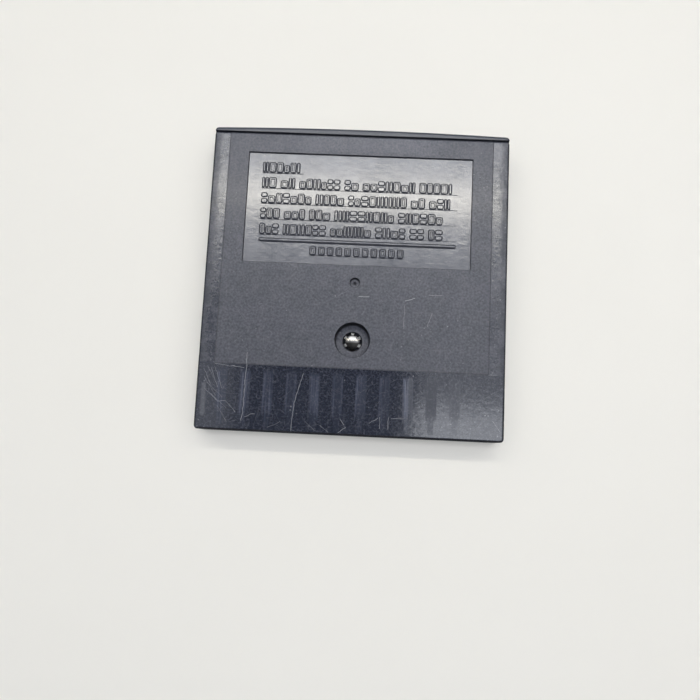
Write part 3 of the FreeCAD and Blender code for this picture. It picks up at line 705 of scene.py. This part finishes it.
# Each step of a block's profile is how far it lies inwards and how far above the row.
BLOCK_STEPS = ((-0.17, -0.02), (-0.16, 0.0), (0.09, 0.15), (0.11, 0.165), (0.13, 0.17))
RING_STEPS = (*BLOCK_STEPS, (0.27, 0.17), (0.29, 0.165), (0.43, 0.02))
ROW_START, ROW_SEED = -21.6, 11
CELLS, CELL_WIDTHS, WORD_CELLS = 40, (1.05, 1.5), (2, 9)
CELL_GAP, WORD_GAP = 0.34, 1.15
BAR_SHARE, STACK_SHARE, LOW_SHARE = 0.36, 0.4, 0.72
# Each row is its low edge, its high edge and where it ends.
ROWS = (
    (57.6, 59.8, -12.8), (54.05, 56.25, 21.1), (50.5, 52.7, 21.6), (46.97, 49.17, 20.4), (43.43, 45.63, 19.9))
RULE = (-21.6, 21.6, 41.85, 42.35)
SHORT_ROW, SHORT_COUNT, SHORT_HALF = (39.05, 40.8, 10.2), 11, 0.6


def row_blocks(low, high, end, chance):
    """The left, right, low and high edges of one row's blocks, and which of them are rings. Cells of
    random width stand side by side in words of two to eight, with a wider space after each. A cell is
    drawn at random as a ring, two upright bars, two blocks one above the other or a low ring. The row
    stops at end."""
    tall = high - low
    widths = chance.uniform(*CELL_WIDTHS, CELLS)
    lasts = np.cumsum(chance.integers(*WORD_CELLS, CELLS)) - 1
    gaps = np.full(CELLS, CELL_GAP)
    gaps[lasts[lasts < CELLS]] = WORD_GAP
    left = ROW_START + np.concatenate(([0], np.cumsum(widths + gaps)[:-1]))
    right = left + widths
    form = chance.integers(0, 4, CELLS)
    double = (form == 1) | (form == 2)
    narrow = np.where(form == 1, BAR_SHARE * widths, widths)
    tops = low + tall * np.choose(form, [1.0, 1.0, STACK_SHARE, LOW_SHARE])
    bottoms = np.where(form == 2, high - STACK_SHARE * tall, low)
    first = np.stack([left, left + narrow, np.full(CELLS, low), tops], axis=1)
    second = np.stack([right - narrow, right, bottoms, np.full(CELLS, high)], axis=1)
    blocks = np.concatenate([first, second[double]])
    rings = np.concatenate([~double, np.zeros(double.sum(), bool)])
    inside = blocks[:, 1] < end
    return blocks[inside], rings[inside]


def panel_blocks():
    """All plain blocks of the panel, and all its rings, as rows of left, right, low and high edges."""
    chance = np.random.default_rng(ROW_SEED)
    rows = [row_blocks(*row, chance) for row in ROWS]
    blocks, rings = (np.concatenate(column) for column in zip(*rows))
    low, high, reach = SHORT_ROW
    centres = np.linspace(-reach + SHORT_HALF, reach - SHORT_HALF, SHORT_COUNT)
    level = np.ones(SHORT_COUNT)
    short = np.stack([centres - SHORT_HALF, centres + SHORT_HALF, level * low, level * high], axis=1)
    return np.concatenate([blocks[~rings], [RULE]]), np.concatenate([blocks[rings], short])


def carried_profile(blocks, steps):
    """Points and faces of a profile carried round rounded rectangles: at each step inwards, a corner is
    the centre plus the half size less the step and the corner's radius, and the outline adds that radius
    times cosine and sine. A flat face closes the last step."""
    steps = np.array(steps)
    turns = np.radians(np.arange(4)[:, None] * 90 + np.linspace(0, 90, CORNER_POINTS)[None, :])
    spokes = np.stack([np.cos(turns), np.sin(turns)], axis=2).reshape(-1, 2)
    signs = np.repeat([(1, 1), (-1, 1), (-1, -1), (1, -1)], CORNER_POINTS, axis=0)
    centre = np.stack([blocks[:, 0] + blocks[:, 1], blocks[:, 2] + blocks[:, 3]], axis=1) / 2
    half = np.stack([blocks[:, 1] - blocks[:, 0], blocks[:, 3] - blocks[:, 2]], axis=1) / 2
    radius = np.minimum(BLOCK_ROUND, half.min(axis=1) * ROUND_SHARE)[:, None, None, None]
    inwards = steps[None, :, None, :1]
    ring = np.maximum(radius - inwards, ROUND_LEAST)
    core = half[:, None, None, :] - inwards - ring
    flat = centre[:, None, None, :] + signs[None, None] * core + spokes[None, None] * ring
    count, levels, points = flat.shape[:3]
    up = np.broadcast_to(ROW_TOP + steps[None, :, None, 1], (count, levels, points))
    spots = np.concatenate([flat, up[..., None]], axis=3) * MM + np.array([0, MOUTH, 0])
    index = np.arange(count * levels * points).reshape(count, levels, points)
    turned = np.roll(index, -1, axis=2)
    sides = np.stack([index[:, :-1], turned[:, :-1], turned[:, 1:], index[:, 1:]], axis=3)
    return spots.reshape(-1, 3), sides.reshape(-1, 4), index[:, -1]


def raised_blocks(blocks, rings):
    """One mesh of the plain blocks and, after their points, the rings."""
    spots, sides, tops = carried_profile(blocks, BLOCK_STEPS)
    ring_spots, ring_sides, ring_floors = carried_profile(rings, RING_STEPS)
    faces = sides.tolist() + tops.tolist()
    faces += (ring_sides + len(spots)).tolist() + (ring_floors + len(spots)).tolist()
    mesh = bpy.data.meshes.new("panel_rows")
    mesh.from_pydata(np.concatenate([spots, ring_spots]), [], faces)
    return mesh


def add_object(name, data):
    """An object in the scene that holds this data."""
    added = bpy.data.objects.new(name, data)
    bpy.context.scene.collection.objects.link(added)
    return added


panel_rows = add_object("panel_rows", raised_blocks(*panel_blocks()))
panel_rows.data.materials.append(REAR_PLASTIC)
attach(panel_rows, "root")

# Case screw: one security screw with six notches round its domed head, sunk in the rear shell's
# well and driven into the front shell's post. It is turned steel with a bright zinc plating.
STEEL_BRIGHT = (0.34, 0.33, 0.315, 1)
# The lobe colour is a painted glint, brighter than the steel itself; the dark colour is grime and painted
# shade.
STEEL_BARE_GLINT = (0.95, 0.94, 0.92, 1)
STEEL_GRIME_SHADE = (0.02, 0.018, 0.016, 1)
NOTCHES, RING_RATE = 6, 45
LOBE_RADIUS, LOBE_UP, LOBE_ALONG = (1.4, 1.6), (5.9, 6.05), (-1.5, -1.1)
NOTCH_UP, DARK_ALONG = (6.15, 5.8), (0.1, -0.35)


def screw_steel():
    """Plated steel with turning rings round the axis, grime and painted shade in the notches, painted shade
    over the half towards the mouth, and on the far half the lobes between the notches, rubbed by drivers and
    painted near-white and rough as glints."""
    material, tree, shader = new_material("screw_steel", {"Metallic": 1.0})
    place = part_position(tree)
    away = from_axis(tree, place, WELL_CENTRE)
    radius = magnitude(tree, away)
    rings = calc(tree, "SINE", calc(tree, "MULTIPLY", radius, RING_RATE))
    cloud = noise(tree, place, 2.4, 4)
    across, along, _ = split(tree, away)
    up = split(tree, place)[2]
    wave = calc(tree, "COSINE", calc(tree, "MULTIPLY", calc(tree, "ARCTAN2", along, across), NOTCHES))
    # Painted glints: the lobes on the far half, partly worn by drivers, turn near-white and rough.
    bare_and_glint = product(
        tree, rise(tree, wave, -0.1, -0.7), rise(tree, radius, *LOBE_RADIUS), rise(tree, up, *LOBE_UP),
        rise(tree, along, *LOBE_ALONG))
    # Grime and painted shade low in the notches, and painted shade on the half towards the mouth.
    grime_and_shade = product(tree, rise(tree, up, *NOTCH_UP), rise(tree, cloud, 0.3, 0.5))
    grime_and_shade = largest(tree, grime_and_shade, product(tree, rise(tree, along, *DARK_ALONG), 0.9))
    metal = tint(tree, grime_and_shade, STEEL_BRIGHT, STEEL_GRIME_SHADE)
    rough = total(tree, weighted(tree, (cloud, 0.14), (grime_and_shade, 0.3)), 0.06)
    finish_shader(tree, shader, weighted(tree, (rings, 0.002), (cloud, 0.01)), {
        "Base Color": tint(tree, bare_and_glint, metal, STEEL_BARE_GLINT), "Roughness": blend(tree, bare_and_glint, rough, 0.5)})
    return material


dress(screw_steel(), "case_screw")

# Table: the pale, plain, slightly uneven top that the cartridge lies on. It carries the soft shadow
# round the part, runs on into the pale backdrop far from it, and can't be seen from below.
TABLE_WHITE = (0.83, 0.80, 0.732, 1)
TABLE_SHADE = (0.80, 0.77, 0.703, 1)
TABLE_FAR = (0.68, 0.67, 0.645, 1)
TABLE_REACH, TABLE_DROP = 6.0, 0.02 * MM
TABLE_HOLE = np.array([cad_high.x, cad_high.y]) - MM
GLOW_FROM, GLOW_TO = 130, 1250


def table_top():
    """Four sides between the corners of a large square and those of a hole that the part covers, just
    below height 0. Beyond the reach of the lamps the camera sees it glow, and its back is clear."""
    signs = np.array([(-1, -1), (1, -1), (1, 1), (-1, 1)])
    flat = np.concatenate([signs * TABLE_REACH, signs * TABLE_HOLE])
    spots = np.column_stack([flat, np.full(len(flat), -TABLE_DROP)])
    first = np.arange(4)
    second = np.roll(first, -1)
    mesh = bpy.data.meshes.new("table")
    mesh.from_pydata(spots, [], np.column_stack([first, second, second + 4, first + 4]).tolist())
    material, tree, shader = new_material("table_top", {
        "Specular IOR Level": 0.2, "Emission Strength": 1.0})
    place = part_position(tree)
    cloud = noise(tree, place, 0.02, 4)
    reach = magnitude(tree, place)
    seen = add_node(tree, "ShaderNodeLightPath").outputs["Is Camera Ray"]
    glow = product(tree, seen, rise(tree, reach, GLOW_FROM, GLOW_TO))
    below = add_node(tree, "ShaderNodeNewGeometry").outputs["Backfacing"]
    finish_shader(tree, shader, product(tree, noise(tree, place, 2.0, 2), 0.004), {
        "Base Color": tint(tree, cloud, TABLE_WHITE, TABLE_SHADE),
        "Roughness": calc(tree, "MULTIPLY_ADD", cloud, 0.2, 0.6),
        "Emission Color": tint(tree, glow, (0, 0, 0, 1), TABLE_FAR),
        "Alpha": without(tree, below)})
    mesh.materials.append(material)
    return mesh


table = add_object("table", table_top())

# Light: softboxes side by side overhead that leave a dim gap by the camera, two of them seen only in
# reflections, a long strip lamp whose mirrored line crosses the panel, a fill from high above that no
# face mirrors, one softbox below the table for the underside, and a dim room all round.
BOX_HEIGHT, STRIP_HEIGHT, FILL_HEIGHT, UNDER_HEIGHT = 0.41, 0.40, 1.2, -0.4
COOL, WARM = (0.97, 1.0, 1.06), (1.0, 0.955, 0.84)
# Each lamp is its near left corner, its far right corner, its height, its level and its colour.
LAMPS = {
    "far_softbox": ((-0.17, 0.097), (0.144, 0.175), BOX_HEIGHT, 1.95, COOL),
    "top_softbox": ((-0.17, 0.175), (0.144, 0.27), BOX_HEIGHT, 3.3, COOL),
    "outer_far_softbox": ((-0.30, 0.27), (0.30, 0.70), BOX_HEIGHT, 1.6, COOL),
    "left_softbox": ((-0.17, -0.154), (-0.10, 0.097), BOX_HEIGHT, 0.7, COOL),
    "right_softbox": ((0.040, -0.003), (0.144, 0.097), BOX_HEIGHT, 1.0, COOL),
    "low_right_softbox": ((0.040, -0.154), (0.144, -0.003), BOX_HEIGHT, 3.2, COOL),
    "outer_left_softbox": ((-0.45, -0.25), (-0.17, 0.27), BOX_HEIGHT, 0.5, COOL),
    "outer_right_softbox": ((0.144, -0.25), (0.45, 0.27), BOX_HEIGHT, 0.8, COOL),
    "strip_lamp": ((-0.38, 0.147), (0.38, 0.169), STRIP_HEIGHT, 10.6, WARM),
    "under_softbox": ((-0.30, -0.30), (0.30, 0.30), UNDER_HEIGHT, 1.0, COOL),
    "fill_softbox": ((-0.20, -0.24), (0.20, 0.16), FILL_HEIGHT, 14.2, COOL),
}
ONLY_MIRRORED, NEVER_MIRRORED = ("top_softbox", "outer_far_softbox"), ("fill_softbox",)
ROOM = (0.09, 0.1, 0.12, 1)
ROOM_SEEN = (0.84, 0.83, 0.80, 1)

for name, (low, high, height, level, colour) in LAMPS.items():
    lamp = bpy.data.lights.new(name, "AREA")
    lamp.shape = "RECTANGLE"
    lamp.size, lamp.size_y = high[0] - low[0], high[1] - low[1]
    lamp.energy = level * math.pi * lamp.size * lamp.size_y
    lamp.color = colour
    box = add_object(name, lamp)
    box.location = ((low[0] + high[0]) / 2, (low[1] + high[1]) / 2, height)
    box.rotation_euler.x = math.pi if height < 0 else 0
    box.visible_camera = False
    box.visible_glossy = name not in NEVER_MIRRORED
    box.visible_diffuse = name not in ONLY_MIRRORED

world = bpy.data.worlds.new("studio")
world.use_nodes = True
bpy.context.scene.world = world
sky = world.node_tree
seen = add_node(sky, "ShaderNodeLightPath").outputs["Is Camera Ray"]
connect(sky, tint(sky, seen, ROOM, ROOM_SEEN), sky.nodes["Background"].inputs["Color"])

# Camera: it looks down on the rear face from a little in front of the mouth end, held by hand,
# so that it is off the middle and rolled slightly.
CAMERA_AT = Vector((3.805, -36.229, 162.533)) * MM
CAMERA_AIM = Vector((-0.358, -15.814, 9.0)) * MM
CAMERA_ROLL = math.radians(-2.744)
CAMERA_LENS, CAMERA_SENSOR = 37.03, 36
CAMERA_NEAR = 5 * MM

forward = (CAMERA_AIM - CAMERA_AT).normalized()
level_right = forward.cross(Vector((0, 1, 0))).normalized()
level_up = level_right.cross(forward)
upward = level_up * math.cos(CAMERA_ROLL) + level_right * math.sin(CAMERA_ROLL)
axes = Matrix((forward.cross(upward), upward, -forward)).transposed()
camera = add_object("camera", bpy.data.cameras.new("camera"))
camera.data.lens = CAMERA_LENS
camera.data.sensor_width = CAMERA_SENSOR
camera.data.clip_start = CAMERA_NEAR
camera.matrix_world = Matrix.Translation(CAMERA_AT) @ axes.to_4x4()
bpy.context.scene.camera = camera
bpy.context.scene.view_settings.view_transform = "Standard"
